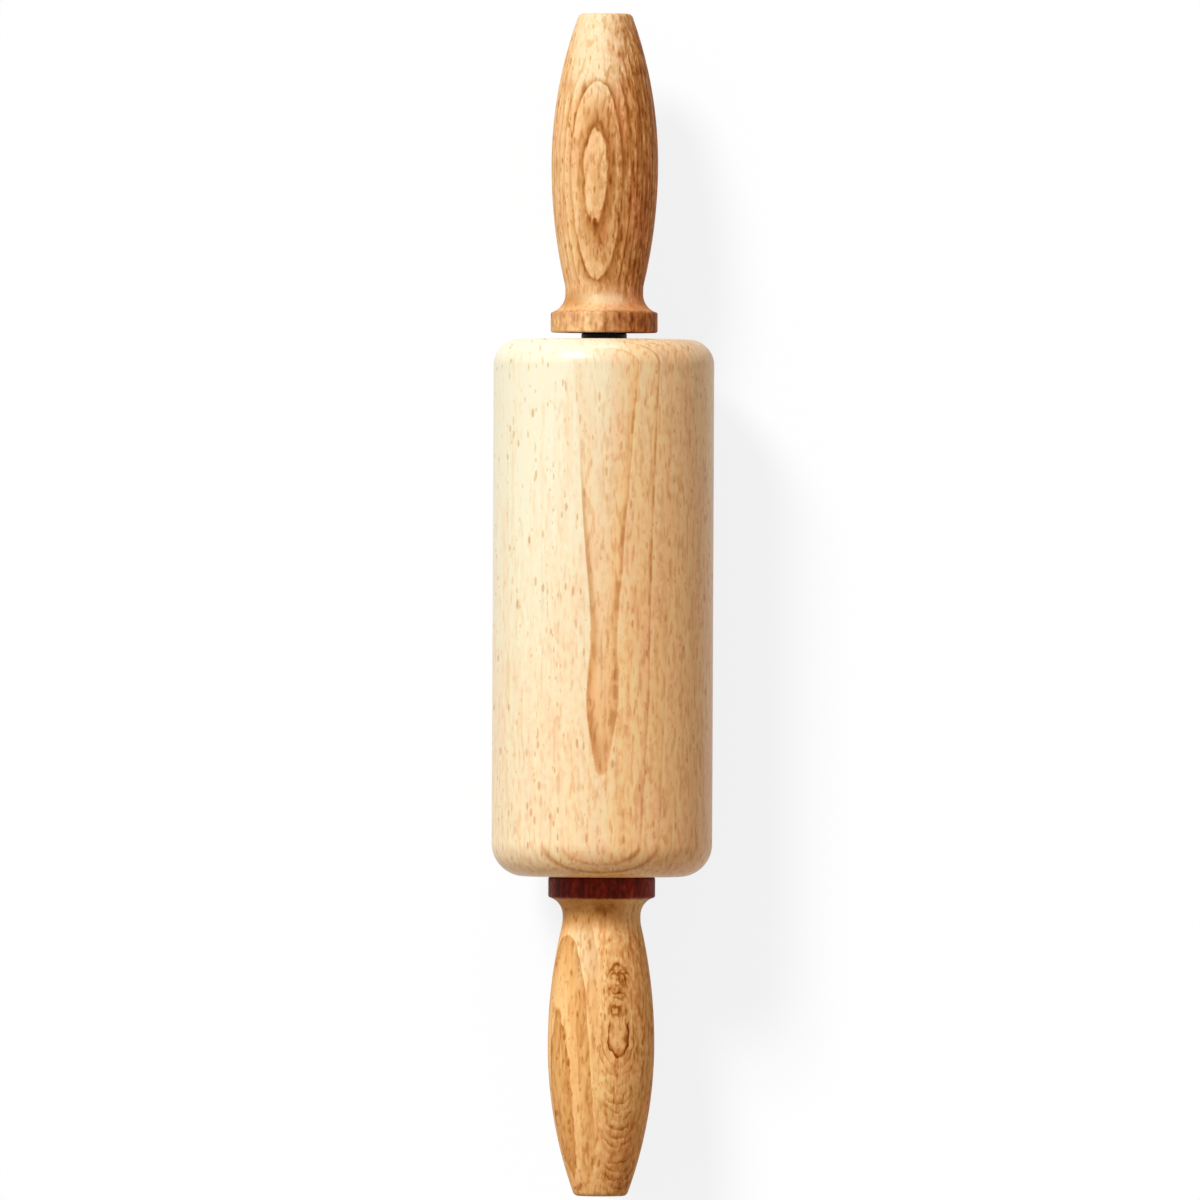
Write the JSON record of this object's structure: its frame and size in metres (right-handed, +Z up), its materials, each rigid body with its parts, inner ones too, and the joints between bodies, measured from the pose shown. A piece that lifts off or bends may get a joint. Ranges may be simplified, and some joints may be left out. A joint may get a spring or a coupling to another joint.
{
  "type": "rolling pin",
  "caption": "Turned beech rolling pin: a thick roller with rounded edges that spins on a tube and rod between barrel-shaped handles with collars.",
  "frame": {"origin": "on the pin's axis, midway between the ends of the two handles", "axes": "+X along the axis towards the right handle, which the roller lies against at rest; +Z up; the roller's lowest line is 30 mm below the origin"},
  "size_m": [0.3212, 0.06, 0.06],
  "materials": {
    "roller_beech": "fine sanded, unlacquered",
    "handle_beech": "fine sanded, unlacquered",
    "bush_plastic": "moulded nylon",
    "tube_plastic": "extruded nylon",
    "rod_steel": "bright drawn"
  },
  "bodies": {
    "handles": {"axle_rod": "rod_steel", "left_handle": "handle_beech", "right_handle": "handle_beech"},
    "sleeve": {"spacer_tube": "tube_plastic"},
    "roller": {"roller": "roller_beech", "left_bush": "bush_plastic", "right_bush": "bush_plastic"}
  },
  "joints": [
    {"name": "roller_spin", "type": "hinge", "parent": "handles", "child": "sleeve", "pos_m": [0, 0, 0], "axis": [1, 0, 0], "continuous": true},
    {"name": "roller_float", "type": "slide", "parent": "sleeve", "child": "roller", "axis": [-1, 0, 0], "range_m": [0, 0.0017]}
  ]
}
